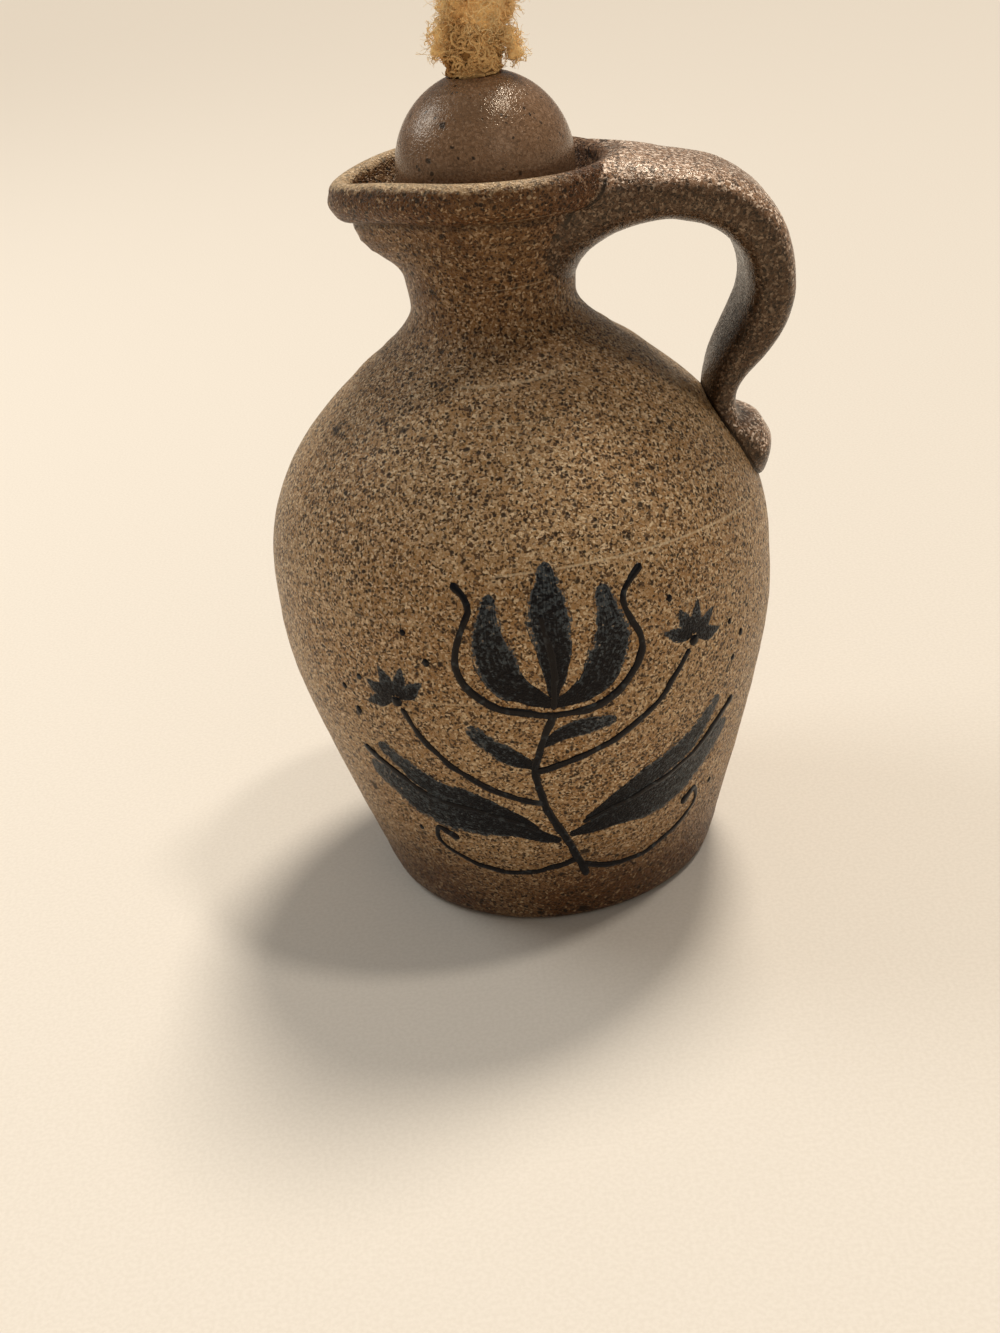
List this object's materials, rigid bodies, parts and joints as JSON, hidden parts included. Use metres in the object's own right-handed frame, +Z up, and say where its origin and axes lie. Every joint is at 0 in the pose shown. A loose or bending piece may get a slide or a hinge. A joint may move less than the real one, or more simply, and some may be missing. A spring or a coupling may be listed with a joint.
{
  "type": "stoneware jug lamp",
  "caption": "Thrown stoneware jug with pulled lip and strap handle; a loose ball in its mouth holds a round cotton wick that hangs into the jug.",
  "frame": {"origin": "on the jug's axis, at the middle of the flat foot that it stands on", "axes": "+Z up along the jug's axis, +X towards the handle, -X towards the pulled lip"},
  "size_m": [0.1165, 0.1094, 0.1975],
  "materials": {
    "stoneware": "salt-glazed, speckled, semi-matt",
    "handle_stoneware": "salt-glazed, speckled, semi-gloss",
    "ball_stoneware": "smooth, semi-gloss",
    "wick_cotton": "twisted cotton rope",
    "tuft_cotton": "frayed cotton"
  },
  "bodies": {
    "jug": {"jug_body": "stoneware", "handle": "handle_stoneware"},
    "stopper_ball": {"wick_ball": "ball_stoneware"},
    "wick_rope": {"wick": "wick_cotton", "wick_tuft": "tuft_cotton"}
  },
  "joints": [
    {"name": "ball_lift", "type": "slide", "parent": "jug", "child": "stopper_ball", "axis": [0, 0, 1], "range_m": [0, 0.19]},
    {"name": "wick_feed", "type": "slide", "parent": "stopper_ball", "child": "wick_rope", "axis": [0, 0, 1], "range_m": [0, 0.025]}
  ]
}
